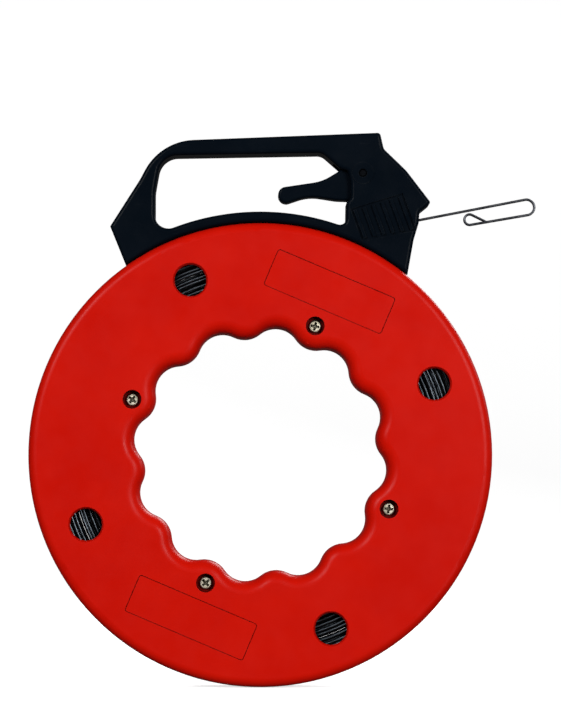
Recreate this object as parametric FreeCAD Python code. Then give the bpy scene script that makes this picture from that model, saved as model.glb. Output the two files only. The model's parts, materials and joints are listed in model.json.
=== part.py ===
"""Fish tape reel: a 30 m flat steel tape wound in a two-piece case that turns inside a carrying handle.

Millimetres. The reel's axis is along Y, the front face looks along -Y, and the handle stands up along +Z.
The mid plane of the whole tool is y = 0. The shapes are drawn with the reel's axis through the origin, and
are moved when they are written, so that the origin of the finished part is the middle of the grip bar.
"""

import FreeCAD, Part
import math
import os

from FreeCAD import Vector

# ---------------------------------------------------------------- case
CASE_R = 152.5  # outer radius, a 12 inch reel
CASE_HALF = 20.0  # half the case's thickness
PLATE = 2.5  # face plate thickness
RIM_WALL = 3.0
RIM_ROUND = 6.0  # rounding of the outer edge
SLOT_HALF = 7.0  # half the width of the slot round the rim
LOBES = 12  # finger recesses round the opening
LOBE_PHASE = 6.5  # angle of the first bump between two recesses, degrees
BUMP_R = 77.1  # opening radius at a bump
LOBE_R = 84.6  # opening radius at the bottom of a finger recess
GRIP_WALL = 2.6  # wall round the opening
GRIP_ROUND = 8.0  # rounding of the opening's edge
GRIP_CORE = 10.6  # solid backing behind that rounding
HUB_R0, HUB_R1 = 97.4, 99.6  # wall that the tape is wound on
WINDOW_POS_R, WINDOW_R = 123.2, 11.35
WINDOW_EDGE, WINDOW_DRAFT = 0.3, 0.9  # chamfer round a window, and how much its wall closes in behind it
WINDOW_PHASE = 22.0
PANEL_POS_R, PANEL_L, PANEL_W, PANEL_DEPTH = 116.1, 84.0, 26.0, 0.35
PANEL_GROOVE, PANEL_CORNER = 0.5, 2.0  # width and depth of the groove round a panel, and its corner radius
PANEL_PHASE = 67.0
SCREW_POS_R, SCREW_PHASE, SCREWS = 91.6, 66.9, 4
SEAM = 0.35  # chamfer where two mouldings meet
PLATE_BORE_R = 70.0  # the plain plate's hole, before the scalloped opening is cut

# ---------------------------------------------------------------- case screws
CASE_SCREW_HEAD_R, CASE_SCREW_HEAD_H, CASE_SCREW_R = 4.1, 2.5, 1.95
COUNTERBORE_R, COUNTERBORE_FLOOR = 6.2, 11.6  # floor as |y|
BOSS_R = 4.6

# ---------------------------------------------------------------- guide ring
RING_R0, RING_R1, RING_HALF = 145.2, 148.9, 11.0
RUN_GAP = 0.4

# ---------------------------------------------------------------- tape
TAPE_T, TAPE_W = 1.6, 3.2  # 1/16 by 1/8 inch
TAPE_TILT = 11.0  # slope of the tape where it leaves the handle, degrees
EXIT = (104.9, 155.8)  # where the tape's centreline leaves the handle
LANE_PITCH = 5.9
# Each lane of the wound tape: (inner radius, outer radius, half turns, the side it starts on).
# The middle one stays under the straight leader.
LANES = [
    (109.6, 138.2, 17, 1),
    (107.6, 136.4, 16, -1),
    (101.4, 127.0, 16, -1),
    (107.6, 136.4, 16, 1),
    (109.6, 138.2, 17, -1),
]
EYE_GAP = 29.5  # from the handle to the eye
EYE_L = 49.0  # outer length of the eye
EYE_W = 10.4  # across the eye at its nose, centreline to centreline
EYE_CLOSE = 1.2  # the returning side leans towards the leader, degrees
CURL_R = 3.5
TAIL_L, TAIL_TURN = 11.0, 36.0
ANCHOR_ANGLE = 200.0  # where the inner end passes the hub wall
ANCHOR_IN, ANCHOR_FOOT = 3.0, 6.0  # how far it reaches inside the wall, and its folded foot

# ---------------------------------------------------------------- handle
GRIP_HALF = 13.0  # half the handle's depth
FOOT_HALF = 6.4  # half the depth of the foot in the case's slot
HANDLE_ROUND = 2.6
HANDLE_WALL = 2.7
RIM_GAP = 1.0
FOOT_TOP_R = 160.5
FOOT_R0 = 149.3
PIVOT = (67.7, 186.0)
PIVOT_R = 2.5
PIN_SUNK = 0.6  # the pin's ends lie this far under the cheeks
BOSS_RING_R, BOSS_PROUD = 7.2, 0.5  # raised ring round the pin on each cheek
FIT = 0.02  # radial play of pressed-in pins and screws
SLOT_Y = 7.4  # half the width of the pocket that holds the trigger
HANDLE_SCREW_R, HANDLE_SCREW_HEAD_R, HANDLE_SCREW_HEAD_H = 1.45, 2.9, 2.0
HANDLE_SCREW_FLOOR = 8.8  # |y| that the heads sit on, in the rear shell
HANDLE_SCREWS = [(-78.5, 141.0), (5.5, 157.0), (86.1, 132.2), (-67.3, 196.4), (70.5, 203.0), (97.5, 166.0)]
LUG_SCREWS = 3  # the first of them also hold the guide ring's lugs

# Outline of the handle as (x, z, corner radius). The two lowest points lie inside the case's slot.
HANDLE_OUTLINE = [
    (-84.0, 112.6, 0.0),
    (-99.4, 150.6, 1.2),
    (-79.9, 181.4, 30.0),
    (-66.2, 207.2, 38.0),
    (79.2, 213.0, 1.8),
    (81.6, 202.4, 5.0),
    (96.6, 187.9, 25.0),
    (112.9, 166.5, 2.0),
    (105.2, 160.2, 1.6),
    (104.7, 153.2, 1.2),
    (101.2, 141.5, 10.0),
    (95.3, 108.5, 0.0),
]
# The hand opening, closed below by the foot's round top.
OPENING_OUTLINE = [
    (-69.8, 135.0, 0.0),
    (-69.8, 174.0, 25.0),
    (-65.6, 197.6, 13.0),
    (40.6, 199.55, 8.0),
    (52.3, 189.3, 0.8),
    (57.8, 187.4, 2.5),
    (59.6, 180.0, 6.0),
    (59.6, 169.6, 1.5),
    (56.8, 166.4, 1.5),
    (56.2, 135.0, 0.0),
]
OPENING_ROUND_LEFT, OPENING_ROUND_RIGHT = 9.0, 4.0
# Hollows inside the left leg and the grip bar, and the pocket for the trigger's root.
LEFT_CORE = [
    (-94.6, 149.8, 1.0),
    (-86.8, 134.6, 1.0),
    (-72.9, 142.4, 1.0),
    (-72.9, 172.0, 3.0),
    (-75.0, 183.0, 1.0),
    (-83.4, 168.6, 3.0),
]
BAR_CORE = [(-46.0, 200.9, 1.0), (40.0, 202.4, 1.0), (40.0, 208.4, 1.0), (-46.0, 205.2, 1.0)]
ROOT_POCKET = [
    (45.0, 166.6, 0.0),
    (45.0, 190.5, 0.0),
    (54.0, 196.5, 2.0),
    (72.0, 197.0, 4.0),
    (78.0, 190.0, 4.0),
    (78.0, 172.0, 2.0),
    (62.0, 166.6, 1.0),
]

# ---------------------------------------------------------------- grip ribs on the cheeks
RIBS = 6
RIB_FIRST = (62.4, 161.4)  # top of the first rib
RIB_STEP = (5.95, 1.75)  # from one rib's top to the next one's
RIB_LEAN = 20.0
RIB_L, RIB_GROWTH, RIB_HALF_W = 19.5, 0.7, 1.0
RIB_PROUD, RIB_POCKET = 0.5, 1.1  # height over the cheek, and depth of the pocket between the ribs

# ---------------------------------------------------------------- trigger and brake
TRIGGER_HALF = 6.9
TIP_R = 5.3
TRIGGER_OUTLINE = [
    (11.7, 176.8, TIP_R),
    (41.0, 181.2, 30.0),
    (56.0, 190.4, 20.0),
    (67.7, 194.0, 0.0),
    (74.0, 180.0, 0.0),
    (66.0, 168.0, 3.0),
    (50.0, 168.6, 30.0),
    (32.0, 171.4, 30.0),
    (11.7, 164.6, TIP_R),
]
HUB_R = 8.0
ARM_HALF_W, ARM_HALF_Y = 4.5, 5.0
SHOE_T = 2.6
CAM_OFFSET = 2.0  # how far the shoe's centre stands off the pivot, so that it closes as it turns
SHOE_GAP = 0.55
SHOE_LEFT, SHOE_RIGHT = 4.5, 9.0
SPRING_AT, SPRING_R, SPRING_WIRE, SPRING_TURNS = 24.0, 2.6, 0.35, 5.0
POCKET_LEFT, POCKET_RIGHT = 13.5, 11.0
ANVIL_L, ANVIL_T, ANVIL_HALF_Y, ANVIL_GAP = 20.0, 1.5, 4.5, 0.1
CHANNEL_HALF_Y, CHANNEL_HALF_T = 2.2, 1.25

Y_AXIS = Vector(0, 1, 0)
GRIP_AT = (-7.0, 203.5)  # middle of the grip bar, which becomes the origin when the parts are written


# ---------------------------------------------------------------- helpers
def at(x, z, y=0.0):
    return Vector(x, y, z)


def polar(r, degrees, y=0.0):
    a = math.radians(degrees)
    return Vector(r * math.cos(a), y, r * math.sin(a))


def rod(r, y0, y1, x=0.0, z=0.0):
    """A cylinder along Y."""
    return Part.makeCylinder(r, y1 - y0, Vector(x, y0, z), Y_AXIS)


def tube(r0, r1, y0, y1, x=0.0, z=0.0):
    return rod(r1, y0, y1, x, z).cut(rod(r0, y0 - 1, y1 + 1, x, z))


def prism(wire, y0, y1):
    """A wire drawn at y = 0, filled and extruded from y0 to y1."""
    face = Part.Face(wire)
    face.translate(Vector(0, y0, 0))
    return face.extrude(Vector(0, y1 - y0, 0))


def outline(points):
    """A closed wire through (x, z, corner radius) points, each corner rounded by a tangent arc."""
    n = len(points)
    ends = []
    for i, (x, z, r) in enumerate(points):
        here = at(x, z)
        before = at(*points[i - 1][:2])
        after = at(*points[(i + 1) % n][:2])
        u = (before - here).normalize()
        v = (after - here).normalize()
        half = u.getAngle(v) / 2
        back = r / math.tan(half) if r else 0.0
        bisector = (u + v).normalize()
        middle = here + bisector * (r / math.sin(half) - r) if r else here
        ends.append((here + u * back, middle, here + v * back))
    edges = []
    for i in range(n):
        start, middle, end = ends[i]
        if start.distanceToPoint(end) > 1e-6:
            edges.append(Part.Arc(start, middle, end).toShape())
        following = ends[(i + 1) % n][0]
        if end.distanceToPoint(following) > 1e-6:
            edges.append(Part.LineSegment(end, following).toShape())
    return Part.Wire(edges)


def scallop(grow):
    """The opening's outline: bumps and finger recesses as tangent arcs, grown into the case by grow."""
    pitch = 360.0 / LOBES
    c = math.cos(math.radians(pitch / 2))
    square = 2 * c - 2
    linear = 2 * (BUMP_R - LOBE_R) * (1 + c)
    constant = BUMP_R**2 + LOBE_R**2 - 2 * c * BUMP_R * LOBE_R
    arc = (-linear - math.sqrt(linear**2 - 4 * square * constant)) / (2 * square)
    arc = abs(arc)

    def join(bump_angle, lobe_angle):
        bump = polar(BUMP_R + arc, bump_angle)
        lobe = polar(LOBE_R - arc, lobe_angle)
        return bump + (lobe - bump) * ((arc - grow) / (2 * arc))

    edges = []
    for i in range(LOBES):
        bump = LOBE_PHASE + i * pitch
        lobe = bump + pitch / 2
        before = join(bump, bump - pitch / 2)
        middle = join(bump, lobe)
        after = join(bump + pitch, lobe)
        edges.append(Part.Arc(before, polar(BUMP_R + grow, bump), middle).toShape())
        edges.append(Part.Arc(middle, polar(LOBE_R + grow, lobe), after).toShape())
    return Part.Wire(edges)


def pieces(shape, keep):
    """The edges of a shape whose centre of mass passes a test."""
    return [e for e in shape.Edges if keep(e.CenterOfMass)]


def only_solid(shape):
    """The single solid of a boolean's result."""
    solids = shape.Solids
    if len(solids) != 1:
        raise ValueError("expected one solid, found %d" % len(solids))
    return solids[0]


def one_solid(shape):
    """The same, with faces that continue each other joined."""
    return only_solid(shape.removeSplitter())


# ---------------------------------------------------------------- the tape's own frame
ALONG = Vector(math.cos(math.radians(TAPE_TILT)), 0, math.sin(math.radians(TAPE_TILT)))
ACROSS = Vector(-ALONG.z, 0, ALONG.x)  # away from the reel's axis
EXIT_POINT = at(*EXIT)
TANGENT_R = EXIT_POINT.dot(ACROSS)
TAPE_START = ACROSS * TANGENT_R


def tape_box(s0, s1, n0, n1, half_y):
    """A box in the tape's frame: s along the tape from the exit, n across it, centred on y = 0."""
    corners = [EXIT_POINT + ALONG * s + ACROSS * n for s, n in ((s0, n0), (s1, n0), (s1, n1), (s0, n1))]
    return prism(Part.makePolygon(corners + corners[:1]), -half_y, half_y)


PIVOT_POINT = at(*PIVOT)
PIVOT_DROP = (PIVOT_POINT - EXIT_POINT).dot(ACROSS)  # from the pivot down to the tape
PIVOT_S = (PIVOT_POINT - EXIT_POINT).dot(ALONG)
CAM_R = PIVOT_DROP - TAPE_T / 2 - SHOE_GAP


# ---------------------------------------------------------------- case halves
def case_blank():
    """What both halves share, on the front side: face plate, rim, opening wall, hub wall and ring rail."""
    inner = CASE_HALF - PLATE
    d = math.sqrt(0.5)
    corner = (CASE_R - RIM_ROUND, CASE_HALF - RIM_ROUND)
    inside = RIM_ROUND - RIM_WALL
    profile = [
        Part.LineSegment(Vector(PLATE_BORE_R, -CASE_HALF, 0), Vector(corner[0], -CASE_HALF, 0)),
        Part.Arc(
            Vector(corner[0], -CASE_HALF, 0),
            Vector(corner[0] + RIM_ROUND * d, -corner[1] - RIM_ROUND * d, 0),
            Vector(CASE_R, -corner[1], 0),
        ),
        Part.LineSegment(Vector(CASE_R, -corner[1], 0), Vector(CASE_R, -SLOT_HALF - 1, 0)),
        Part.LineSegment(Vector(CASE_R, -SLOT_HALF - 1, 0), Vector(CASE_R - 1, -SLOT_HALF, 0)),
        Part.LineSegment(Vector(CASE_R - 1, -SLOT_HALF, 0), Vector(CASE_R - RIM_WALL, -SLOT_HALF, 0)),
        Part.LineSegment(Vector(CASE_R - RIM_WALL, -SLOT_HALF, 0), Vector(CASE_R - RIM_WALL, -corner[1], 0)),
        Part.Arc(
            Vector(CASE_R - RIM_WALL, -corner[1], 0),
            Vector(corner[0] + inside * d, -corner[1] - inside * d, 0),
            Vector(corner[0], -corner[1] - inside, 0),
        ),
        Part.LineSegment(Vector(corner[0], -corner[1] - inside, 0), Vector(corner[0], -inner, 0)),
        Part.LineSegment(Vector(corner[0], -inner, 0), Vector(PLATE_BORE_R, -inner, 0)),
        Part.LineSegment(Vector(PLATE_BORE_R, -inner, 0), Vector(PLATE_BORE_R, -CASE_HALF, 0)),
    ]
    face = Part.Face(Part.Wire([g.toShape() for g in profile]))
    blank = face.revolve(Vector(0, 0, 0), Y_AXIS, 360)
    opening = prism(scallop(0.0), -CASE_HALF - 1, 1)
    grip_wall = prism(scallop(GRIP_WALL), -CASE_HALF + 0.2, 0)
    grip_core = prism(scallop(GRIP_CORE), -CASE_HALF + 0.2, -CASE_HALF + GRIP_CORE)
    hub_wall = tube(HUB_R0, HUB_R1, -inner - 0.2, 0)
    rail = tube(RING_R0 - 0.8, RING_R0 + 1.8, -inner - 0.2, -RING_HALF - RUN_GAP)
    blank = blank.fuse([grip_wall, grip_core, hub_wall, rail]).cut(opening).removeSplitter()
    edge = pieces(blank, lambda c: abs(c.y + CASE_HALF) < 1e-6 and math.hypot(c.x, c.z) < LOBE_R + 1)
    blank = blank.makeFillet(GRIP_ROUND, edge)
    seam = pieces(blank, lambda c: abs(c.y) < 1e-6 and math.hypot(c.x, c.z) < LOBE_R)
    return blank.makeChamfer(SEAM, seam)


def window_cut(place):
    """A round sight window: a chamfered mouth, and a wall that closes in behind it."""
    back_r = WINDOW_R - WINDOW_DRAFT
    mouth = Vector(place.x, -CASE_HALF, place.z)
    throat = mouth + Y_AXIS * WINDOW_EDGE
    cut = Part.makeCone(WINDOW_R + WINDOW_EDGE, WINDOW_R, WINDOW_EDGE, mouth, Y_AXIS)
    wall = Part.makeCone(WINDOW_R, back_r, PLATE - WINDOW_EDGE, throat, Y_AXIS)
    return cut.fuse([wall, rod(back_r, -CASE_HALF + PLATE - 0.5, -CASE_HALF + PLATE + 1, place.x, place.z)])


def panel_frame(inset):
    signs = ((-1, -1), (1, -1), (1, 1), (-1, 1))
    half_w, half_l = PANEL_W / 2 - inset, PANEL_L / 2 - inset
    return outline([(a * half_w, b * half_l, PANEL_CORNER - inset) for a, b in signs])


def panel_cut(angle):
    """A shallow label panel with a fine groove round its edge."""
    floor = -CASE_HALF + PANEL_DEPTH
    panel = prism(panel_frame(0.0), -CASE_HALF - 1, floor)
    groove = prism(panel_frame(0.0), -CASE_HALF - 0.5, floor + PANEL_GROOVE)
    groove = groove.cut(prism(panel_frame(PANEL_GROOVE), -CASE_HALF - 1, floor + 2 * PANEL_GROOVE))
    cut = panel.fuse(groove)
    cut.translate(Vector(PANEL_POS_R, 0, 0))
    cut.rotate(Vector(0, 0, 0), Y_AXIS, -angle)
    return cut


def windows_and_panels():
    """What is cut out of a face plate: round sight windows and shallow label panels."""
    windows = [window_cut(polar(WINDOW_POS_R, WINDOW_PHASE + 90 * i)) for i in range(4)]
    return windows + [panel_cut(PANEL_PHASE + 180 * i) for i in range(2)]


def screw_places():
    return [polar(SCREW_POS_R, SCREW_PHASE + 90 * i) for i in range(SCREWS)]


def gusset(place, y0, y1):
    """A web from a screw boss to the opening's wall and the hub wall."""
    u = Vector(place).normalize()
    side = Vector(-u.z, 0, u.x) * 0.9
    near = u * (BUMP_R + GRIP_WALL - 0.5)
    far = u * (HUB_R0 + 0.5)
    corners = [near + side, far + side, far - side, near - side]
    return prism(Part.makePolygon(corners + corners[:1]), y0, y1)


def front_case():
    """The half that takes the screw heads in deep counterbores."""
    inner = CASE_HALF - PLATE
    shape = case_blank()
    adds, cuts = [], windows_and_panels()
    for p in screw_places():
        adds.append(gusset(p, -inner - 0.2, -2.0))
        adds.append(rod(COUNTERBORE_R + 1.6, -inner - 0.2, -COUNTERBORE_FLOOR + 2.6, p.x, p.z))
        adds.append(rod(BOSS_R, -COUNTERBORE_FLOOR, 0, p.x, p.z))
        cuts.append(rod(COUNTERBORE_R, -CASE_HALF - 1, -COUNTERBORE_FLOOR, p.x, p.z))
        cuts.append(rod(CASE_SCREW_R + 0.3, -CASE_HALF, 1, p.x, p.z))
    shape = shape.fuse(adds)
    return one_solid(shape.cut(cuts))


def rear_case():
    """The half that takes the screws' threads in blind bosses."""
    inner = CASE_HALF - PLATE
    shape = case_blank()
    adds, cuts = [], windows_and_panels()
    for p in screw_places():
        adds.append(gusset(p, -inner - 0.2, -2.0))
        adds.append(rod(BOSS_R, -inner - 0.2, 0, p.x, p.z))
        cuts.append(rod(CASE_SCREW_R + 0.03, -inner + 1.5, 1, p.x, p.z))
    shape = one_solid(shape.fuse(adds).cut(cuts))
    return shape.mirror(Vector(0, 0, 0), Y_AXIS)


def cross_recess(r, depth, y, x, z, turn):
    """A cross slot for a screwdriver, cut down from a head's top at y."""
    bars = []
    for a in (turn, turn + 90):
        bar = Part.makeBox(2 * r, depth, 0.3 * r, Vector(-r, 0, -0.15 * r))
        bar.rotate(Vector(0, 0, 0), Y_AXIS, a)
        bar.translate(Vector(x, y, z))
        bars.append(bar)
    return bars[0].fuse(bars[1])


def pan_screw(head_r, head_h, shank_r, length, turn):
    """A pan-head screw along +Y with its head's underside at y = 0 and a cross recess in its top."""
    head = rod(head_r, -head_h, 0)
    head = head.makeFillet(head_h * 0.55, pieces(head, lambda c: abs(c.y + head_h) < 1e-6))
    shank = rod(shank_r, 0, length)
    shank = shank.makeChamfer(shank_r * 0.6, pieces(shank, lambda c: abs(c.y - length) < 1e-6))
    return one_solid(head.fuse(shank).cut(cross_recess(0.62 * head_r, head_h * 0.6, -head_h, 0, 0, turn)))


# ---------------------------------------------------------------- tape
def coil_lane(y, r0, r1, half_turns, side):
    """One lane of the wound tape: a spiral strip of half rings that starts on one side and winds outwards."""
    step = (r1 - r0 - TAPE_T) / half_turns
    outer, inner = [], []
    r = r0 + TAPE_T / 2
    x_mid = 0.0
    for _ in range(half_turns):
        top = -side
        for edges, radius in ((outer, r + TAPE_T / 2), (inner, r - TAPE_T / 2)):
            a = at(x_mid + side * radius, 0)
            b = at(x_mid, top * radius)
            c = at(x_mid - side * radius, 0)
            edges.append(Part.Arc(a, b, c).toShape())
        end_x = x_mid - side * r
        r += step
        side = -side
        x_mid = end_x - side * r
    first = Part.LineSegment(inner[0].Vertexes[0].Point, outer[0].Vertexes[0].Point).toShape()
    last = Part.LineSegment(outer[-1].Vertexes[-1].Point, inner[-1].Vertexes[-1].Point).toShape()
    wire = Part.Wire(Part.__sortEdges__([first] + outer + [last] + inner))
    return prism(wire, y - TAPE_W / 2, y + TAPE_W / 2)


def tape_coil():
    lanes = []
    for i, lane in enumerate(LANES):
        lanes.append(coil_lane((i - (len(LANES) - 1) / 2) * LANE_PITCH, *lane))
    return Part.makeCompound(lanes)


def tape_end():
    """The straight leader inside the handle and the closed eye bent into its end, as one flat strip."""
    nose_r = EYE_W / 2
    nose_s = EYE_GAP + EYE_L - nose_r - TAPE_T / 2
    curl_s = EYE_GAP + CURL_R + TAPE_T / 2
    back_l = (nose_s - curl_s) / math.cos(math.radians(EYE_CLOSE))
    # Each leg turns clockwise through its angle on its radius, or runs straight for its length.
    legs = [
        ("run", (EXIT_POINT - TAPE_START).Length + nose_s),
        ("turn", nose_r, 180.0 + EYE_CLOSE),
        ("run", back_l),
        ("turn", CURL_R, 180.0 + TAIL_TURN),
        ("run", TAIL_L),
    ]
    here, heading = TAPE_START, TAPE_TILT
    solids = []
    for leg in legs:
        u = polar(1.0, heading)
        left = Vector(-u.z, 0, u.x)
        if leg[0] == "run":
            side = left * (TAPE_T / 2)
            after = here + u * leg[1]
            corners = [here + side, after + side, after - side, here - side]
            solids.append(prism(Part.makePolygon(corners + corners[:1]), -TAPE_W / 2, TAPE_W / 2))
            here = after
            continue
        radius, angle = leg[1:]
        centre = here - left * radius
        sides = []
        for r in (radius + TAPE_T / 2, radius - TAPE_T / 2):
            sides.append([centre + polar(r, heading + 90.0 - angle * k) for k in (0.0, 0.5, 1.0)])
        edges = [
            Part.Arc(*sides[0]).toShape(),
            Part.LineSegment(sides[0][2], sides[1][2]).toShape(),
            Part.Arc(*reversed(sides[1])).toShape(),
            Part.LineSegment(sides[1][0], sides[0][0]).toShape(),
        ]
        solids.append(prism(Part.Wire(edges), -TAPE_W / 2, TAPE_W / 2))
        here = centre + polar(radius, heading + 90.0 - angle)
        heading -= angle
    return one_solid(solids[0].fuse(solids[1:]))


def anchor_box(r0, r1, n0, n1, half_y):
    """A box at the inner end's place: from r0 to r1 along the radius and n0 to n1 across it."""
    u = polar(1.0, ANCHOR_ANGLE)
    side = Vector(-u.z, 0, u.x)
    corners = [u * r + side * n for r, n in ((r0, n0), (r1, n0), (r1, n1), (r0, n1))]
    return prism(Part.makePolygon(corners + corners[:1]), -half_y, half_y)


def tape_anchor():
    """The tape's inner end, folded through the hub wall's slot."""
    half = TAPE_T / 2
    inside = HUB_R0 - ANCHOR_IN
    leg = anchor_box(inside, LANES[2][0] - 0.4, -half, half, TAPE_W / 2)
    foot = anchor_box(inside, inside + TAPE_T, -half, ANCHOR_FOOT, TAPE_W / 2)
    return one_solid(leg.fuse(foot))


def anchor_slot():
    """The slot in the hub walls that the tape's inner end passes through."""
    half = TAPE_T / 2 + RUN_GAP
    return anchor_box(HUB_R0 - 1.0, HUB_R1 + 1.0, -half, half, TAPE_W / 2 + RUN_GAP)


# ---------------------------------------------------------------- guide ring
def lug_places():
    return HANDLE_SCREWS[:LUG_SCREWS]


def lug(place, grow):
    """A flat lug that stands up from the guide ring round a handle screw."""
    p = at(*place)
    u = Vector(p).normalize()
    side = Vector(-u.z, 0, u.x) * (4.0 + grow)
    near, far = u * (RING_R1 - 1.0), u * (p.Length)
    corners = [near + side, far + side, far - side, near - side]
    body = prism(Part.makePolygon(corners + corners[:1]), -2.0 - grow, 2.0 + grow)
    return body.fuse(rod(4.0 + grow, -2.0 - grow, 2.0 + grow, p.x, p.z))


def guide_ring():
    ring = tube(RING_R0, RING_R1, -RING_HALF, RING_HALF)
    ring = ring.fuse([lug(p, 0.0) for p in lug_places()])
    ring = ring.cut([rod(HANDLE_SCREW_R + 0.15, -5, 5, x, z) for x, z in lug_places()])
    meets = math.sqrt(RING_R0 ** 2 - TANGENT_R ** 2) - (EXIT_POINT - TAPE_START).Length  # tape meets ring
    half = CHANNEL_HALF_T + 0.6
    window = tape_box(meets - 9, -20, -half, half, CHANNEL_HALF_Y + 0.4)
    return one_solid(ring.cut(window))


# ---------------------------------------------------------------- handle
def arm_point(s, t):
    """A point in the brake arm's frame: s down the arm from the pivot, t towards the tape's way out."""
    return PIVOT_POINT - ACROSS * s + ALONG * t


def hand_opening():
    y = GRIP_HALF + 1
    shape = prism(outline(OPENING_OUTLINE), -y, y).cut(rod(FOOT_TOP_R, -y - 1, y + 1))
    for x_sign, radius in ((-1, OPENING_ROUND_LEFT), (1, OPENING_ROUND_RIGHT)):
        corner = pieces(
            shape,
            lambda c: abs(c.y) < 1e-6 and c.x * x_sign > 0 and abs(math.hypot(c.x, c.z) - FOOT_TOP_R) < 0.01,
        )
        shape = shape.makeFillet(radius, corner)
    return shape


def rib_zone():
    """The slanted grip ribs on the front cheek, as the pocket between them and the ribs."""
    down = polar(1.0, RIB_LEAN - 90.0)
    across = polar(1.0, RIB_LEAN)
    step = at(*RIB_STEP)
    ribs = []
    for i in range(RIBS):
        top = at(*RIB_FIRST) + step * i
        end = top + down * (RIB_L + RIB_GROWTH * i)
        side = across * RIB_HALF_W
        corners = [top - side, top + side, end + side, end - side]
        rib = prism(Part.makePolygon(corners + corners[:1]), -GRIP_HALF - RIB_PROUD, -GRIP_HALF + 1.2)
        ribs.append(rib)
    first, last = at(*RIB_FIRST), at(*RIB_FIRST) + step * (RIBS - 1)
    side, margin = across * 2.6, down * 1.6
    corners = [
        first - side - margin,
        last + side - margin,
        last + side + down * (RIB_L + RIB_GROWTH * (RIBS - 1)) + margin,
        first - side + down * RIB_L + margin,
    ]
    zone = prism(Part.makePolygon(corners + corners[:1]), -GRIP_HALF - 1, -GRIP_HALF + RIB_POCKET)
    return zone, ribs


def mechanism_pocket():
    """The pocket in the middle of the handle for the trigger, its brake arm and the spring."""
    root = prism(outline(ROOT_POCKET), -SLOT_Y, SLOT_Y)
    depth = PIVOT_DROP + TAPE_T / 2 + ANVIL_GAP
    corners = [
        arm_point(6, -POCKET_LEFT),
        arm_point(6, POCKET_RIGHT),
        arm_point(depth, POCKET_RIGHT),
        arm_point(depth, -POCKET_LEFT),
    ]
    arm = prism(Part.makePolygon(corners + corners[:1]), -SLOT_Y, SLOT_Y)
    return root.fuse(arm)


def handle_blank():
    """The whole handle before it is split into two shells."""
    whole = outline(HANDLE_OUTLINE)
    upper = prism(whole, -GRIP_HALF, GRIP_HALF).cut(rod(CASE_R + RIM_GAP, -20, 20)).cut(hand_opening())
    foot = prism(whole, -FOOT_HALF, FOOT_HALF).common(tube(FOOT_R0, FOOT_TOP_R - 2.0, -20, 20))
    rim = CASE_R + RIM_GAP

    def on_face(c):
        return abs(abs(c.y) - GRIP_HALF) < 1e-6 and abs(math.hypot(c.x, c.z) - rim) > 0.6

    upper = upper.makeFillet(HANDLE_ROUND, [e for e in upper.Edges if on_face(e.CenterOfMass)])
    blank = upper.fuse(foot)
    y = GRIP_HALF - HANDLE_WALL
    left = prism(outline(LEFT_CORE), -y, y).cut(rod(4.2, -20, 20, *HANDLE_SCREWS[0]))
    bar = prism(outline(BAR_CORE), -y, y)
    blank = blank.cut([left, bar, mechanism_pocket()])
    cuts = [lug(p, 0.15) for p in lug_places()]
    cuts.append(tape_box(-80, 2, -CHANNEL_HALF_T, CHANNEL_HALF_T, CHANNEL_HALF_Y))
    cuts.append(anvil(0.1))
    cuts.append(exit_guide_body(0.1))
    cuts.append(rod(PIVOT_R + FIT, -20, 20, *PIVOT))
    zone, ribs = rib_zone()
    adds = list(ribs)
    flip = [s.mirror(Vector(0, 0, 0), Y_AXIS) for s in [zone] + ribs]
    cuts += [zone, flip[0]]
    adds += flip[1:]
    for sign in (-1, 1):
        y0, y1 = sorted((sign * (GRIP_HALF - 1), sign * (GRIP_HALF + BOSS_PROUD)))
        adds.append(tube(PIVOT_R + 0.4, BOSS_RING_R, y0, y1, *PIVOT))
    blank = blank.cut(cuts).fuse(adds)
    mouth = GRIP_HALF - 1.2
    return blank.cut([rod(PIVOT_R + 0.4, -20, -mouth, *PIVOT), rod(PIVOT_R + 0.4, mouth, 20, *PIVOT)])


def handle_shells():
    blank = handle_blank()
    box = Part.makeBox(400, 40, 400, Vector(-200, -40, -100))
    front = blank.common(box)
    rear = blank.common(box.translated(Vector(0, 40, 0)))
    for x, z in HANDLE_SCREWS:
        front = front.cut(rod(HANDLE_SCREW_R + 0.03, -GRIP_HALF + 3.5, 1, x, z))
        rear = rear.cut(rod(HANDLE_SCREW_R + 0.25, -1, GRIP_HALF + 1, x, z))
        rear = rear.cut(rod(HANDLE_SCREW_HEAD_R + 0.3, HANDLE_SCREW_FLOOR, GRIP_HALF + 1, x, z))
    return one_solid(front), one_solid(rear)


def anvil(grow):
    """The steel plate under the tape that the brake shoe presses it against."""
    n1 = -TAPE_T / 2 - ANVIL_GAP + grow
    s = PIVOT_S
    low = n1 - ANVIL_T - 2 * grow
    return tape_box(s - ANVIL_L / 2 - grow, s + ANVIL_L / 2 + grow, low, n1, ANVIL_HALF_Y + grow)


def exit_guide_body(grow):
    return tape_box(-9.0 - grow, -0.6, -3.0 - grow, 3.0 + grow, 4.2 + grow)


def exit_guide():
    """The hard-wearing eyelet that the tape slides through."""
    slot = tape_box(-12, 2, -TAPE_T / 2 - 0.35, TAPE_T / 2 + 0.35, TAPE_W / 2 + 0.35)
    return one_solid(exit_guide_body(0.0).cut(slot))


# ---------------------------------------------------------------- trigger and brake
def cam_sector(r0, r1, left, right, half_y):
    """A curved pad about the cam's centre, which stands off the pivot so that the pad closes as it turns."""
    centre = arm_point(0, CAM_OFFSET)
    ring = tube(r0, r1, -half_y, half_y, centre.x, centre.z)
    corners = [arm_point(5, -left), arm_point(5, right), arm_point(60, right), arm_point(60, -left)]
    return ring.common(prism(Part.makePolygon(corners + corners[:1]), -half_y, half_y))


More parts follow.
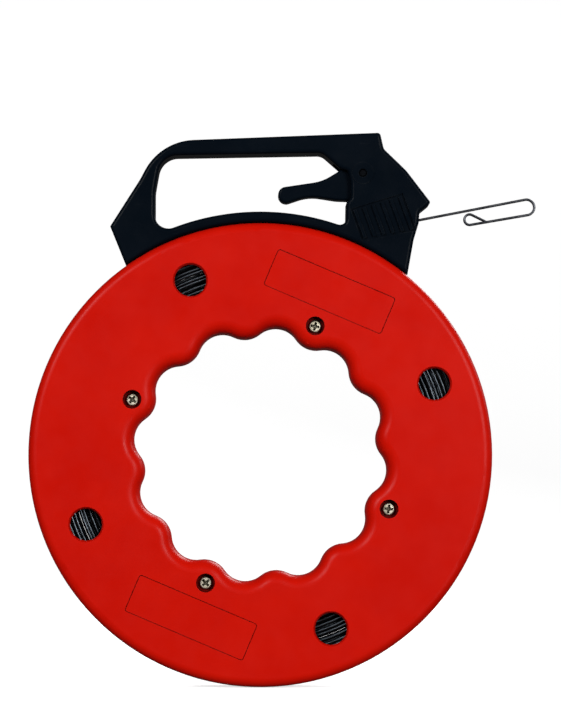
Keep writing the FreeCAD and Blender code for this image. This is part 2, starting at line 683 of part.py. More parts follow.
def trigger():
    lever = prism(outline(TRIGGER_OUTLINE), -TRIGGER_HALF, TRIGGER_HALF)
    finger = pieces(lever, lambda c: abs(abs(c.y) - TRIGGER_HALF) < 1e-6 and c.x < 62)
    lever = lever.makeFillet(1.8, finger)
    hub = rod(HUB_R, -TRIGGER_HALF, TRIGGER_HALF, *PIVOT)
    w = ARM_HALF_W
    corners = [arm_point(0, -w), arm_point(0, w), arm_point(CAM_R, w), arm_point(CAM_R, -w)]
    arm = prism(Part.makePolygon(corners + corners[:1]), -ARM_HALF_Y, ARM_HALF_Y)
    waist = CAM_R - 14
    flare = [arm_point(waist, -w), arm_point(waist, w), arm_point(CAM_R, SHOE_RIGHT), arm_point(CAM_R, -w)]
    arm = arm.fuse(prism(Part.makePolygon(flare + flare[:1]), -ARM_HALF_Y, ARM_HALF_Y))
    arm = arm.cut(cam_sector(CAM_R - SHOE_T, CAM_R + 30, 40, 40, ARM_HALF_Y + 1))
    seat = arm_point(SPRING_AT, -w)
    peg_r = SPRING_R - 2 * SPRING_WIRE - 0.25  # the spring's last turn fits round this peg
    peg = Part.makeCylinder(peg_r, 2.0, seat, ALONG * -1)
    body = lever.fuse([hub, arm, peg]).cut(rod(PIVOT_R + 0.05, -20, 20, *PIVOT))
    return only_solid(body)


def brake_shoe():
    return one_solid(cam_sector(CAM_R - SHOE_T, CAM_R, SHOE_LEFT, SHOE_RIGHT, ARM_HALF_Y - 0.5))


def trigger_spring():
    """A small compression spring between the brake arm and the pocket's wall, with closed ends."""
    length = POCKET_LEFT - ARM_HALF_W - 2 * SPRING_WIRE - 0.1
    helix = Part.makeHelix(length / SPRING_TURNS, length, SPRING_R - SPRING_WIRE)
    profile = Part.Wire(
        Part.makeCircle(SPRING_WIRE, Vector(SPRING_R - SPRING_WIRE, 0, 0), Vector(0, 1, 0))
    )
    coil = Part.Wire(helix).makePipeShell([profile], True, True)
    coil.rotate(Vector(0, 0, 0), Y_AXIS, 90)
    coil.rotate(Vector(0, 0, 0), Y_AXIS, -TAPE_TILT)
    start = arm_point(SPRING_AT, -ARM_HALF_W - SPRING_WIRE - 0.05 - length)
    coil.translate(start)
    return coil


def pivot_pin():
    end = GRIP_HALF - PIN_SUNK
    pin = rod(PIVOT_R, -end, end, *PIVOT)
    return pin.makeChamfer(0.5, pieces(pin, lambda c: abs(abs(c.y) - end) < 1e-6))


# ---------------------------------------------------------------- build
def build():
    parts = {}
    front, rear = handle_shells()
    parts["handle_front_shell"] = front
    parts["handle_rear_shell"] = rear
    parts["guide_ring"] = guide_ring()
    parts["pivot_pin"] = pivot_pin()
    parts["brake_anvil"] = one_solid(anvil(0.0))
    parts["tape_exit_guide"] = exit_guide()
    parts["trigger_spring"] = trigger_spring()
    parts["trigger_lever"] = trigger()
    parts["brake_shoe"] = brake_shoe()
    parts["tape_leader"] = tape_end()
    slot = anchor_slot()
    parts["reel_front_half"] = one_solid(front_case().cut(slot))
    parts["reel_rear_half"] = one_solid(rear_case().cut(slot))
    parts["tape_coil"] = tape_coil()
    parts["tape_inner_end"] = tape_anchor()
    case_screw = pan_screw(CASE_SCREW_HEAD_R, CASE_SCREW_HEAD_H, CASE_SCREW_R, COUNTERBORE_FLOOR + 11.0, 0)
    for i, p in enumerate(screw_places()):
        screw = case_screw.copy()
        screw.rotate(Vector(0, 0, 0), Y_AXIS, 37 * i)
        screw.translate(Vector(p.x, -COUNTERBORE_FLOOR, p.z))
        parts["case_screw_%d" % (i + 1)] = screw
    floor = HANDLE_SCREW_FLOOR
    handle_screw = pan_screw(HANDLE_SCREW_HEAD_R, HANDLE_SCREW_HEAD_H, HANDLE_SCREW_R, floor + 8.0, 0)
    for i, (x, z) in enumerate(HANDLE_SCREWS):
        screw = handle_screw.copy()
        screw.rotate(Vector(0, 0, 0), Y_AXIS, 23 * i)
        screw.rotate(Vector(0, 0, 0), Vector(0, 0, 1), 180)
        screw.translate(Vector(x, floor, z))
        parts["handle_screw_%d" % (i + 1)] = screw
    return parts


os.makedirs("parts", exist_ok=True)
for name, shape in sorted(build().items()):
    shape.translate(Vector(-GRIP_AT[0], 0, -GRIP_AT[1]))
    shape.exportStep("parts/%s.step" % name)
    facts = (name, shape.isValid(), len(shape.Solids), shape.Volume)
    print("%-20s valid %s  solids %d  volume %.0f mm3" % facts)
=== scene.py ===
import json
import math
import random

import bmesh
import bpy
from mathutils import Matrix, Vector


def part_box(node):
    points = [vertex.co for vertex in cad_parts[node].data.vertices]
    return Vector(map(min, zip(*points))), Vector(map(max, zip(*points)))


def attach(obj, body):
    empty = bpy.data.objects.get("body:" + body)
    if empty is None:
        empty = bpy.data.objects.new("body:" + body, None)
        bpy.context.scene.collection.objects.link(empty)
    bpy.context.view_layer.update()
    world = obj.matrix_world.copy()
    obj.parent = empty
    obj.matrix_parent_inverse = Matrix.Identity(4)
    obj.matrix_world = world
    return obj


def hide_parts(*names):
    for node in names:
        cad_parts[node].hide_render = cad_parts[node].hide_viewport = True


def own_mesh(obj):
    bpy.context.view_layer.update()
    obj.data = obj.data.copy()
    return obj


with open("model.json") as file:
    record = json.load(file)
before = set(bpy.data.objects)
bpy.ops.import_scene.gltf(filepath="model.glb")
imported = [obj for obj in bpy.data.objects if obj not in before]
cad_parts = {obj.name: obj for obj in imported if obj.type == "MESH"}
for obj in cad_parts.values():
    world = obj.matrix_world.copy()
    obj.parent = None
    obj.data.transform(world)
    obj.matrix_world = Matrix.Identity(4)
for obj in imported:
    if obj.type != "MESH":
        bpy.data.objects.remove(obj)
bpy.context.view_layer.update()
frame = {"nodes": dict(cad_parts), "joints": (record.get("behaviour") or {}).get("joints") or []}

MM = 0.001
NODES = frame["nodes"]
JOINTS = {j["name"]: j for j in frame["joints"]}

# ---------------------------------------------------------------- places, from the frame
REEL_AT = Vector(JOINTS["reel_spin"]["pos_m"])
ALONG = Vector(JOINTS["tape_feed"]["axis"]).normalized()
ACROSS = Vector((-ALONG.z, 0.0, ALONG.x))
CASE_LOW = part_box("reel_front_half")[0]
TILT = math.atan2(ALONG.z, ALONG.x)
Y_AXIS = Vector((0.0, 1.0, 0.0))

# ---------------------------------------------------------------- the tape
TAPE_T, TAPE_W = 1.6 * MM, 3.2 * MM
TAPE_CORNER, WOUND_CORNER = 0.62 * MM, 0.74 * MM  # rounding of the strip's edges
EYE_L, EYE_W = 49.0 * MM, 10.4 * MM  # outer length, and width between centrelines at the nose
EYE_CLOSE = math.radians(1.2)  # the returning side leans towards the leader
CURL_R = 3.5 * MM
TAIL_L, TAIL_TURN = 11.0 * MM, math.radians(36.0)
LANE_PITCH = 5.9 * MM
# Each lane of the winding: (inner radius, outer radius, turns).
LANES = [
    (109.6 * MM, 138.2 * MM, 8.5),
    (107.6 * MM, 136.4 * MM, 8.0),
    (101.4 * MM, 127.0 * MM, 8.0),
    (107.6 * MM, 136.4 * MM, 8.0),
    (109.6 * MM, 138.2 * MM, 8.5),
]
STRAY_R, STRAY_Y = 0.66 * MM, 1.15 * MM  # how far a turn strays from its lane's spiral
STRAY_WAVES, STRAY_FULL = 5, 2.6  # waves in the straying, and the sum that counts as straying all the way
WINDING_SEED, WINDING_STEPS = 11, 120  # the random draw, and the steps in each turn
NOSE_STEPS, CURL_STEPS, CORNER_STEPS = 28, 24, 3  # steps round the eye's bends and the strip's corners

# ---------------------------------------------------------------- the trigger spring
SPRING_WIRE_R = 0.35 * MM
SPRING_TURNS, SPRING_STEPS = 7.0, 24  # turns of the wire, and the steps in each turn
WIRE_SIDES = 8  # points round the wire

# ---------------------------------------------------------------- the screws
SCREW_SIZES = {
    "case_screw": {"head": 2.5 * MM, "shank": 1.95 * MM, "pitch": 1.3 * MM},
    "handle_screw": {"head": 2.0 * MM, "shank": 1.45 * MM, "pitch": 1.1 * MM},
}
# How far each screw's cross is turned when the screw is tight, degrees.
CASE_SCREW_TURNS = (12, 38, 47, 8)
HANDLE_SCREW_TURNS = (0, 20, 65, 40, 10, 80)
SCREW_SIDES, CORE_SIDES = 32, 12  # points round a screw, and round the core of its recess
DOME_STEPS, THREAD_STEPS = 12, 8  # steps over a head's rounding, and along one pitch of the thread

# ---------------------------------------------------------------- grain of the materials
# A noise is stretched most along the axis whose number is smallest.
STRIP_GRAIN = (0.15, 1.0, 0.15)
ROUND_GRAIN = (1.0, 0.4, 1.0)
BLOCK_GRAIN = (0.2, 1.0, 1.0)
SCUFF_GRAIN = (1.0, 1.0, 22.0)
# How fine each noise is, in cells to the metre.
MOTTLE, SCUFFS, RUBS, SHEEN, RIPPLES, PATCHES = 22.0, 60.0, 140.0, 70.0, 45.0, 90.0
RUB_WIDTH = 0.7 * MM  # how far in from an edge the plastic is rubbed
RUB_TURN = 0.75  # cosine of the angle by which the rounded normal turns on a fully rubbed edge
SHADE_REACH = 22.0 * MM  # how near the walls round a place have to be for its colour to take painted shade


# ---------------------------------------------------------------- materials
def new_material(name):
    """An empty material and its one shader."""
    mat = bpy.data.materials.new(name)
    mat.use_nodes = True
    nodes = mat.node_tree.nodes
    nodes.clear()
    out = nodes.new("ShaderNodeOutputMaterial")
    bsdf = nodes.new("ShaderNodeBsdfPrincipled")
    mat.node_tree.links.new(bsdf.outputs["BSDF"], out.inputs["Surface"])
    return mat, bsdf


class Wiring:
    """Short names for the nodes that every material here is made of."""

    def __init__(self, mat):
        self.nodes = mat.node_tree.nodes
        self.links = mat.node_tree.links
        self.coords = self.nodes.new("ShaderNodeTexCoord").outputs["Object"]

    def link(self, source, target):
        self.links.new(source, target)

    def noise(self, scale, detail=3.0, rough=0.55, stretch=(1, 1, 1), offset=(0, 0, 0)):
        mapping = self.nodes.new("ShaderNodeMapping")
        mapping.inputs["Scale"].default_value = stretch
        mapping.inputs["Location"].default_value = offset
        self.link(self.coords, mapping.inputs["Vector"])
        tex = self.nodes.new("ShaderNodeTexNoise")
        tex.inputs["Scale"].default_value = scale
        tex.inputs["Detail"].default_value = detail
        tex.inputs["Roughness"].default_value = rough
        self.link(mapping.outputs["Vector"], tex.inputs["Vector"])
        return tex.outputs["Fac"]

    def remap(self, value, low, high, to_low=0.0, to_high=1.0):
        node = self.nodes.new("ShaderNodeMapRange")
        node.inputs["From Min"].default_value = low
        node.inputs["From Max"].default_value = high
        node.inputs["To Min"].default_value = to_low
        node.inputs["To Max"].default_value = to_high
        self.link(value, node.inputs["Value"])
        return node.outputs["Result"]

    def calc(self, kind, a, b):
        node = self.nodes.new("ShaderNodeMath")
        node.operation = kind
        for socket, value in zip(node.inputs, (a, b)):
            if isinstance(value, (int, float)):
                socket.default_value = value
            else:
                self.link(value, socket)
        return node.outputs["Value"]

    def mix(self, factor, a, b):
        """Colour a where factor is 0 and b where it is 1. Each is a tuple or another node's output."""
        node = self.nodes.new("ShaderNodeMix")
        node.data_type = "RGBA"
        self.link(factor, node.inputs["Factor"])
        for socket, value in ((node.inputs[6], a), (node.inputs[7], b)):
            if isinstance(value, tuple):
                socket.default_value = (*value, 1.0)
            else:
                self.link(value, socket)
        return node.outputs[2]

    def edges(self, radius):
        """0 on flat ground, 1 on edges whose bevelled normal turns away."""
        bevel = self.nodes.new("ShaderNodeBevel")
        bevel.samples = 4
        bevel.inputs["Radius"].default_value = radius
        normal = self.nodes.new("ShaderNodeNewGeometry").outputs["Normal"]
        dot = self.nodes.new("ShaderNodeVectorMath")
        dot.operation = "DOT_PRODUCT"
        self.link(bevel.outputs["Normal"], dot.inputs[0])
        self.link(normal, dot.inputs[1])
        return self.remap(dot.outputs["Value"], 1.0, RUB_TURN)

    def corners(self, reach, bare, full):
        """0 in the open, 1 deep in a narrow corner or hole of the same piece.

        bare and full are the shares of open view at which the painted shade begins and is complete.
        """
        # ambient occlusion of the piece itself, used as a mask for shade painted into the colour
        shade = self.nodes.new("ShaderNodeAmbientOcclusion")
        shade.samples = 6
        shade.only_local = True
        shade.inputs["Distance"].default_value = reach
        return self.remap(shade.outputs["AO"], bare, full)

    def bump(self, height, distance, strength, under=None):
        node = self.nodes.new("ShaderNodeBump")
        node.inputs["Distance"].default_value = distance
        node.inputs["Strength"].default_value = strength
        self.link(height, node.inputs["Height"])
        if under is not None:
            self.link(under, node.inputs["Normal"])
        return node.outputs["Normal"]


def moulded(name, light, dark, edge_and_scuff_tone, rough, grain, grain_depth, corner_shade_depth=0.90):
    """Moulded plastic: mottled colour, fine grain, a lighter tone on rubbed edges and scuffs, and painted
    shade where it is narrow.

    grain is in cells to the metre, and the last argument is how thickly painted shade covers the deepest
    corners, up to 1.
    """
    mat, bsdf = new_material(name)
    w = Wiring(mat)
    mottle = w.remap(w.noise(MOTTLE, 4.0, 0.6), 0.35, 0.65)
    ground = w.mix(mottle, dark, light)
    scuff_line = w.noise(SCUFFS, 2.0, 0.5, SCUFF_GRAIN, (0.3, 0.1, 0.7))
    scuffs = w.remap(scuff_line, 0.70, 0.80)
    rub = w.calc("MULTIPLY", w.edges(RUB_WIDTH), w.remap(w.noise(RUBS, 4.0, 0.7), 0.40, 0.70))
    # lighter tone on scuffs and rubbed edges: wear, and where the tone is bright, as on black nylon, also a
    # painted edge highlight
    wear_and_edge_highlight = w.calc("MAXIMUM", w.calc("MULTIPLY", scuffs, 0.22), w.calc("MULTIPLY", rub, 0.45))
    # painted shade: the colour darkens towards a near-black tone where the piece's own walls close round a
    # place, in counterbores, window holes and grooves
    corner_shade = w.calc("MULTIPLY", w.corners(SHADE_REACH, 0.78, 0.28), corner_shade_depth)
    shade_colour = tuple(0.08 * c for c in dark)
    w.link(w.mix(corner_shade, w.mix(wear_and_edge_highlight, ground, edge_and_scuff_tone), shade_colour), bsdf.inputs["Base Color"])
    rough_map = w.remap(w.noise(SHEEN, 5.0, 0.6), 0.3, 0.7, rough - 0.05, rough + 0.06)
    w.link(w.calc("ADD", rough_map, w.calc("MULTIPLY", wear_and_edge_highlight, 0.12)), bsdf.inputs["Roughness"])
    fine = w.bump(w.noise(grain, 2.0, 0.5), grain_depth, 0.6)
    w.link(w.bump(w.noise(RIPPLES, 2.0, 0.5), 0.10 * MM, 0.35, fine), bsdf.inputs["Normal"])
    return mat, bsdf


def metal(name, light, dark, rough, streak, streak_scale, recess_shade_reach=None):
    """Steel with streaks in one direction and darker patches. The last argument is the reach of painted
    shade in its holes.
    """
    mat, bsdf = new_material(name)
    w = Wiring(mat)
    bsdf.inputs["Metallic"].default_value = 1.0
    patches = w.remap(w.noise(PATCHES, 4.0, 0.6), 0.35, 0.68)
    ground = w.mix(patches, light, dark)
    if recess_shade_reach:
        # painted shade deep in the piece's own holes, such as a screw's cross recess
        ground = w.mix(w.corners(recess_shade_reach, 0.98, 0.68), ground, tuple(0.14 * c for c in dark))
    w.link(ground, bsdf.inputs["Base Color"])
    streaks = w.noise(streak_scale, 3.0, 0.6, streak)
    w.link(w.remap(streaks, 0.3, 0.7, rough - 0.08, rough + 0.12), bsdf.inputs["Roughness"])
    w.link(w.bump(streaks, 0.03 * MM, 0.5), bsdf.inputs["Normal"])
    return mat


def red_plastic():
    light, dark, edge_and_scuff_tone = (0.60, 0.0066, 0.0014), (0.555, 0.0046, 0.0007), (0.64, 0.026, 0.014)
    mat, bsdf = moulded("red_plastic", light, dark, edge_and_scuff_tone, 0.34, 1500.0, 0.030 * MM)
    bsdf.inputs["Specular IOR Level"].default_value = 0.08
    return mat


def black_nylon():
    # The lighter edge and scuff tone is partly wear and partly a painted highlight along the handle's edges.
    light, dark, edge_and_scuff_tone = (0.0024, 0.0046, 0.0080), (0.0014, 0.0033, 0.0062), (0.034, 0.039, 0.046)
    # 0.35 makes the painted shade in the handle's corners weaker than on the red case
    mat, bsdf = moulded("black_nylon", light, dark, edge_and_scuff_tone, 0.27, 1100.0, 0.04 * MM, 0.35)
    bsdf.inputs["Specular IOR Level"].default_value = 0.030
    return mat


def rubber():
    light, dark, edge_and_scuff_tone = (0.030, 0.030, 0.031), (0.020, 0.020, 0.021), (0.06, 0.06, 0.06)
    return moulded("rubber", light, dark, edge_and_scuff_tone, 0.70, 900.0, 0.05 * MM)[0]


def tape_steel():
    light, dark = (0.085, 0.088, 0.098), (0.040, 0.043, 0.050)
    return metal("tape_steel", light, dark, 0.36, STRIP_GRAIN, 900.0)


def wound_steel():
    # Dark partly as the oiled strip's own tone and partly as painted shade for the strip seen deep inside
    # the case's windows.
    light, dark = (0.092, 0.108, 0.124), (0.022, 0.027, 0.032)
    return metal("wound_steel", light, dark, 0.36, STRIP_GRAIN, 900.0)


def yellow_zinc():
    light, dark = (0.88, 0.82, 0.68), (0.52, 0.48, 0.34)
    return metal("yellow_zinc", light, dark, 0.46, ROUND_GRAIN, 700.0, 2.4 * MM)


def dark_zinc():
    light, dark = (0.12, 0.12, 0.13), (0.06, 0.06, 0.066)
    return metal("dark_zinc", light, dark, 0.36, ROUND_GRAIN, 700.0, 1.8 * MM)


def blackened_steel():
    light, dark = (0.0040, 0.0046, 0.0056), (0.0024, 0.0028, 0.0034)
    return metal("blackened_steel", light, dark, 0.44, ROUND_GRAIN, 700.0)


def ground_steel():
    light, dark = (0.50, 0.50, 0.51), (0.36, 0.36, 0.37)
    return metal("ground_steel", light, dark, 0.30, BLOCK_GRAIN, 800.0)


# ---------------------------------------------------------------- mesh helpers
def piece(name, bm, material, node, body, sharp=35.0):
    """Makes a mesh the piece that stands for a CAD node and rides with that node's body."""
    bmesh.ops.recalc_face_normals(bm, faces=bm.faces)
    mesh = bpy.data.meshes.new(name)
    bm.to_mesh(mesh)
    bm.free()
    mesh.shade_smooth()
    mesh.set_sharp_from_angle(angle=math.radians(sharp))
    mesh.materials.append(material)
    obj = bpy.data.objects.new(name, mesh)
    bpy.context.scene.collection.objects.link(obj)
    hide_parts(node)
    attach(obj, body)
    return obj


def rounded_section(thick, width, corner):
    """(across, y) points round a strip's section, counter-clockwise."""
    points = []
    for k, (a, b) in enumerate(((1, 1), (-1, 1), (-1, -1), (1, -1))):
        for i in range(CORNER_STEPS + 1):
            turn = math.pi / 2 * (k + i / CORNER_STEPS)
            x = a * (thick / 2 - corner) + corner * math.cos(turn)
            y = b * (width / 2 - corner) + corner * math.sin(turn)
            points.append((x, y))
    return points


def join_loops(bm, rings, close=True):
    """Faces between each ring of points and the next, over the first, and with close over the last."""
    for before, after in zip(rings, rings[1:]):
        for i in range(len(before)):
            j = (i + 1) % len(before)
            bm.faces.new((before[i], before[j], after[j], after[i]))
    bm.faces.new(rings[0])
    if close:
        bm.faces.new(rings[-1])


def sweep(bm, path, section):
    """A closed strip along (point, direction across) pairs."""
    rings = []
    for point, across in path:
        rings.append([bm.verts.new(point + across * a + Y_AXIS * y) for a, y in section])
    join_loops(bm, rings)


def turned(bm, profile, steps, bend=None):
    """A solid of revolution about Y from (radius, y) points, closed at both ends.

    bend(radius, y, angle), where there is one, gives each point's own radius.
    """
    rings = []
    for r, y in profile:
        ring = []
        for i in range(steps):
            a = 2 * math.pi * i / steps
            radius = bend(r, y, a) if bend else r
            ring.append(bm.verts.new((radius * math.cos(a), y, radius * math.sin(a))))
        rings.append(ring)
    join_loops(bm, rings)


def in_plane(angle):
    """The unit vector at this angle in the reel's plane, from +X towards +Z."""
    return Vector((math.cos(angle), 0.0, math.sin(angle)))


# ---------------------------------------------------------------- tape pieces
class Stray:
    """A smooth random offset along a winding, between -1 and 1."""

    def __init__(self, rng):
        self.waves = [(rng.uniform(0.12, 0.95), rng.uniform(0, 2 * math.pi)) for _ in range(STRAY_WAVES)]

    def __call__(self, turn):
        total = sum(math.sin(turn * rate + phase) for rate, phase in self.waves)
        return max(-1.0, min(1.0, total / STRAY_FULL))


def tape_winding(material):
    """Five lanes of strip, wound as loosely as a hand-cranked reel winds them."""
    rng = random.Random(WINDING_SEED)
    section = rounded_section(TAPE_T, TAPE_W, WOUND_CORNER)
    bm = bmesh.new()
    for lane, (r0, r1, turns) in enumerate(LANES):
        y = (lane - (len(LANES) - 1) / 2) * LANE_PITCH
        side, depth = Stray(rng), Stray(rng)
        start = rng.uniform(0, 2 * math.pi)
        low = r0 + TAPE_T / 2 + STRAY_R
        high = r1 - TAPE_T / 2 - STRAY_R
        count = int(turns * WINDING_STEPS)
        path = []
        for i in range(count + 1):
            turn = 2 * math.pi * i / WINDING_STEPS
            r = low + (high - low) * i / count + STRAY_R * side(turn)
            across = in_plane(start + turn)
            path.append((REEL_AT + across * r + Y_AXIS * (y + STRAY_Y * depth(turn)), across))
        sweep(bm, path, section)
    piece("tape_winding", bm, material, "tape_coil", "reel")


def arc(here, heading, radius, angle, steps):
    """(point, direction across) pairs round a clockwise bend, and the place and heading at its end."""
    left = in_plane(heading + math.pi / 2)
    centre = here - left * radius
    path = []
    for i in range(1, steps + 1):
        out = in_plane(heading + math.pi / 2 - angle * i / steps)
        path.append((centre + out * radius, out))
    return path, path[-1][0], heading - angle


def leader_with_eye(material):
    """The straight leader and the eye, swept in one piece along runs and bends."""
    low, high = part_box("tape_leader")
    line_r = (REEL_AT.x - low.x) / math.sin(TILT) - TAPE_T / 2
    nose_r = EYE_W / 2
    start = REEL_AT + ACROSS * line_r
    nose_x = high.x - nose_r - TAPE_T / 2
    centre_line = start - ACROSS * nose_r
    nose = start + ALONG * ((nose_x - centre_line.x) / ALONG.x)
    back = (EYE_L - nose_r - CURL_R - TAPE_T) / math.cos(EYE_CLOSE)
    path = [(start, ACROSS), (nose, ACROSS)]
    bend, here, heading = arc(nose, TILT, nose_r, math.pi + EYE_CLOSE, NOSE_STEPS)
    path += bend
    here = here + in_plane(heading) * back
    path.append((here, in_plane(heading + math.pi / 2)))
    bend, here, heading = arc(here, heading, CURL_R, math.pi + TAIL_TURN, CURL_STEPS)
    path += bend
    path.append((here + in_plane(heading) * TAIL_L, in_plane(heading + math.pi / 2)))
    bm = bmesh.new()
    sweep(bm, path, rounded_section(TAPE_T, TAPE_W, TAPE_CORNER))
    piece("leader_with_eye", bm, material, "tape_leader", "tape")


# ---------------------------------------------------------------- trigger spring
def compression_spring(material):
    """A wound spring with closed ends, built at its rest length; the real one shortens towards the handle's
    wall with the trigger's squeeze.
    """
    low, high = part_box("trigger_spring")
    outer = (high.y - low.y) / 2
    length = (high.x - low.x - 2 * outer * math.sin(TILT)) / math.cos(TILT)
    middle = (low + high) / 2
    coil_r = outer - SPRING_WIRE_R
    travel = length - 2 * SPRING_WIRE_R
    lie = 2.1 * SPRING_WIRE_R  # how far an end turn rises, so that it doesn't run into itself
    travel_free = travel - 2 * lie
    bm = bmesh.new()
    rings = []
    for i in range(int(SPRING_TURNS * SPRING_STEPS) + 1):
        turn = i / SPRING_STEPS
        share = max(0.0, min(1.0, (turn - 1.0) / (SPRING_TURNS - 2.0)))  # of the rise between the end turns
        ends = min(turn, 1.0) + max(0.0, turn - SPRING_TURNS + 1.0)
        along = -travel / 2 + travel_free * share + lie * ends
        a = 2 * math.pi * turn
        out = ACROSS * math.cos(a) + Y_AXIS * math.sin(a)
        centre = middle + ALONG * along + out * coil_r
        ring = []
        for k in range(WIRE_SIDES):
            b = 2 * math.pi * k / WIRE_SIDES
            point = centre + out * SPRING_WIRE_R * math.cos(b) + ALONG * SPRING_WIRE_R * math.sin(b)
            ring.append(bm.verts.new(point))
        rings.append(ring)
    join_loops(bm, rings)
    obj = piece("wound_spring", bm, material, "trigger_spring", "handle", 60.0)
    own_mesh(obj)


# ---------------------------------------------------------------- screws
def cross_cutter(reach, depth, thick):
    """The tapered point of a cross-head driver: four wings down to y = depth, and a core just past it."""
    bm = bmesh.new()
    for turn in (0.0, math.pi / 2):
        u, v = in_plane(turn), in_plane(turn + math.pi / 2)
        ends = []
        for y, length, width in ((-depth, 1.3 * reach, 1.2 * thick), (depth, 0.7 * reach, 0.8 * thick)):
            ends.append([bm.verts.new(u * a * length + v * b * width / 2 + Y_AXIS * y)
                         for a, b in ((-1, -1), (1, -1), (1, 1), (-1, 1))])
        join_loops(bm, ends)
    turned(bm, [(1.5 * thick, -depth), (0.45 * thick, 1.1 * depth)], CORE_SIDES)
    return bm


def screw_mesh(head_r, head_h, shank_r, length, pitch):
    """A pan-head screw along +Y, its head's underside at y = 0: domed head, cross recess, rolled thread."""
    rise = 0.42 * head_h  # height at which the head's side begins to round over
    crown = 0.94 * head_h  # height of the head's face at its edge, which rises to head_h in the middle
    profile = [(head_r * 0.02, -head_h)]
    for i in range(DOME_STEPS + 1):
        a = math.pi / 2 * i / DOME_STEPS
        profile.append((head_r * (0.78 + 0.22 * math.sin(a)), -rise - (crown - rise) * math.cos(a)))
    profile += [(head_r, -0.12 * head_h), (head_r * 0.97, 0.0), (shank_r, 0.0)]
    rows = int(length / pitch * THREAD_STEPS)
    for i in range(1, rows + 1):
        profile.append((shank_r, length * i / rows))
    plain = 0.6 * pitch  # length of shank under the head that has no thread
    depth = 0.20 * shank_r  # depth of the thread
    point = 1.6 * shank_r  # the shank's end narrows like a cone of this length
    tip = 0.35  # share of the radius that is left at the end

    def thread(r, y, a):
        if y <= plain:
            return r
        wave = (y / pitch - a / (2 * math.pi)) % 1.0
        cut = depth * (1.0 - abs(2 * wave - 1.0) ** 1.5)
        taper = max(tip, min(1.0, (length - y) / point + tip))
        return (r - cut) * taper

    head = bmesh.new()
    turned(head, profile, SCREW_SIDES, thread)
    bmesh.ops.recalc_face_normals(head, faces=head.faces)
    cutter = cross_cutter(0.70 * head_r, 0.80 * head_h, 0.40 * head_r)
    bmesh.ops.recalc_face_normals(cutter, faces=cutter.faces)
    bmesh.ops.translate(cutter, verts=cutter.verts, vec=(0, -head_h, 0))
    bodies = []
    for name, bm in (("screw_body", head), ("screw_cutter", cutter)):
        mesh = bpy.data.meshes.new(name)
        bm.to_mesh(mesh)
        bm.free()
        obj = bpy.data.objects.new(name, mesh)
        bpy.context.scene.collection.objects.link(obj)
        bodies.append(obj)
    body, tool = bodies
    cut = body.modifiers.new("recess", "BOOLEAN")
    cut.operation = "DIFFERENCE"
    cut.solver = "EXACT"
    cut.use_self = True
    cut.object = tool
    bpy.context.view_layer.update()
    done = bpy.data.meshes.new_from_object(body.evaluated_get(bpy.context.evaluated_depsgraph_get()))
    for obj in bodies:
        bpy.data.objects.remove(obj)
    return done


def screws(stem, body, material, turns, to_front):
    """One detailed screw in place of each CAD screw, from the CAD screw's own box."""
    size = SCREW_SIZES[stem]
    low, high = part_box(stem + "_1")
    head_r = (high.x - low.x) / 2
    mesh = screw_mesh(head_r, size["head"], size["shank"], high.y - low.y - size["head"], size["pitch"])
    flip = Matrix.Identity(3) if to_front else Matrix.Rotation(math.pi, 3, "Z")
    for i, turn in enumerate(turns, 1):
        node = "%s_%d" % (stem, i)
        low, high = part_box(node)
        bm = bmesh.new()
        bm.from_mesh(mesh)
        spin = Matrix.Rotation(math.radians(turn), 3, "Y")
        seat = low.y + size["head"] if to_front else high.y - size["head"]
        at = Vector(((low.x + high.x) / 2, seat, (low.z + high.z) / 2))
        bmesh.ops.transform(bm, matrix=(flip @ spin).to_4x4(), verts=bm.verts)
        bmesh.ops.translate(bm, verts=bm.verts, vec=at)
        piece(node + "_detailed", bm, material, node, body, 30.0)


def detailed_pieces(finish):
    tape_winding(finish["tape_coil"])
    leader_with_eye(finish["tape_leader"])
    compression_spring(finish["trigger_spring"])
    screws("case_screw", "reel", finish["case_screw"], CASE_SCREW_TURNS, True)
    screws("handle_screw", "handle", finish["handle_screw"], HANDLE_SCREW_TURNS, False)


def dress():
    """Gives every CAD node its finished material. Returns the materials, by node or by kind of screw."""
    red, black, tape = red_plastic(), black_nylon(), tape_steel()
    yellow, dark, ground, pad = yellow_zinc(), dark_zinc(), ground_steel(), rubber()
    wound = wound_steel()
    finish = {
        "case_screw": yellow, "handle_screw": dark, "reel_front_half": red, "reel_rear_half": red,
        "handle_front_shell": black, "handle_rear_shell": black, "guide_ring": black, "trigger_lever": black,
        "tape_leader": tape, "tape_coil": wound, "tape_inner_end": wound, "trigger_spring": ground,
        "pivot_pin": blackened_steel(), "brake_anvil": ground, "tape_exit_guide": ground, "brake_shoe": pad,
    }
    for name, obj in NODES.items():
        mat = finish.get(name) or finish[name.rsplit("_", 1)[0]]
        obj.data.materials.clear()
        obj.data.materials.append(mat)
    return finish


# ---------------------------------------------------------------- studio
VIEW_AT = Vector((13.1, -20.0, 61.1)) * MM + REEL_AT  # middle of the picture, on the case's front face
VIEW_FROM = Vector((-9.0, -1920.0, -31.0)) * MM + REEL_AT  # the camera's place
VIEW_HIGH = 0.4740  # height of the picture there
# Each light: (name, place, (width, height), watts). All of them face the middle of the picture.
LIGHTS = [
    ("key", (-1.15, -2.0, 0.75), (0.8, 0.8), 35.0),
    ("fill", (1.15, -2.0, 0.25), (0.8, 0.8), 30.0),
    ("low", (1.3, -1.9, -0.75), (0.6, 0.6), 4.0),
    ("rear", (0.9, 1.5, 1.0), (1.2, 1.0), 26.0),
    ("side", (2.2, 0.9, 0.6), (0.8, 0.8), 7.0),
]


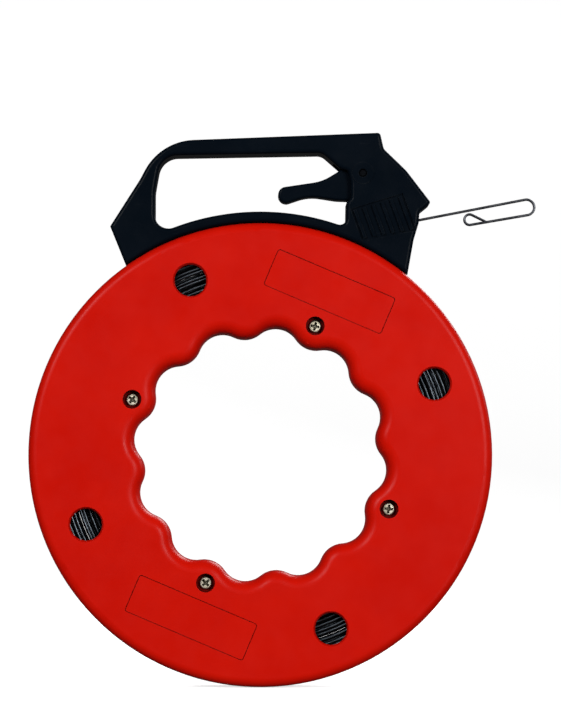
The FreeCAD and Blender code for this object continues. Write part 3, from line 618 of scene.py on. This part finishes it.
def camera():
    cam = bpy.data.cameras.new("camera")
    cam.sensor_fit = "VERTICAL"
    cam.sensor_height = 24.0
    aim = VIEW_AT - VIEW_FROM
    cam.lens = cam.sensor_height * aim.length / VIEW_HIGH
    cam.clip_end = 30.0
    obj = bpy.data.objects.new("camera", cam)
    obj.location = VIEW_FROM
    obj.rotation_euler = aim.to_track_quat("-Z", "Y").to_euler()
    bpy.context.scene.collection.objects.link(obj)
    bpy.context.scene.camera = obj


def area_light(name, at, size, watts):
    lamp = bpy.data.lights.new(name, "AREA")
    lamp.shape = "RECTANGLE"
    lamp.size, lamp.size_y = size
    lamp.energy = watts
    obj = bpy.data.objects.new(name, lamp)
    obj.location = at
    aim = VIEW_AT - Vector(at)
    obj.rotation_euler = aim.to_track_quat("-Z", "Y").to_euler()
    bpy.context.scene.collection.objects.link(obj)


def paper_bowl():
    """A pale round floor whose rim curves up into a plain wall on every side."""
    low = CASE_LOW.z - 0.4 * MM  # just clear of the case
    floor_r, bend, wall, sides, steps = 2.2, 0.8, 2.6, 96, 16
    profile = [(0.6, 0.0), (1.2, 0.0), (1.8, 0.0)]
    for i in range(steps + 1):
        a = math.pi / 2 * i / steps
        profile.append((floor_r + bend * math.sin(a), bend - bend * math.cos(a)))
    profile.append((floor_r + bend, bend + wall))
    bm = bmesh.new()
    rings = []
    for r, z in profile:
        angles = [2 * math.pi * i / sides for i in range(sides)]
        rings.append([bm.verts.new((r * math.cos(a), r * math.sin(a), low + z)) for a in angles])
    join_loops(bm, rings, close=False)
    bmesh.ops.recalc_face_normals(bm, faces=bm.faces)
    mesh = bpy.data.meshes.new("paper_bowl")
    bm.to_mesh(mesh)
    bm.free()
    mesh.shade_smooth()
    obj = bpy.data.objects.new("paper_bowl", mesh)
    bpy.context.scene.collection.objects.link(obj)
    mat, bsdf = new_material("paper")
    w = Wiring(mat)
    w.link(w.mix(w.noise(3.0), (0.93, 0.93, 0.93), (0.96, 0.96, 0.96)), bsdf.inputs["Base Color"])
    bsdf.inputs["Roughness"].default_value = 0.9
    bsdf.inputs["Specular IOR Level"].default_value = 0.1
    bsdf.inputs["Emission Color"].default_value = (1.0, 1.0, 1.0, 1.0)
    bsdf.inputs["Emission Strength"].default_value = 0.72
    mesh.materials.append(mat)
    obj.visible_glossy = False
    obj.visible_diffuse = False
    obj.visible_shadow = False


def studio():
    world = bpy.data.worlds.new("studio")
    bpy.context.scene.world = world
    world.use_nodes = True
    background = world.node_tree.nodes["Background"]
    background.inputs["Color"].default_value = (1.0, 1.0, 1.0, 1.0)
    background.inputs["Strength"].default_value = 0.05
    for name, at, size, watts in LIGHTS:
        area_light(name, at, size, watts)
    paper_bowl()
    bpy.context.scene.view_settings.view_transform = "Standard"


camera()
detailed_pieces(dress())
studio()
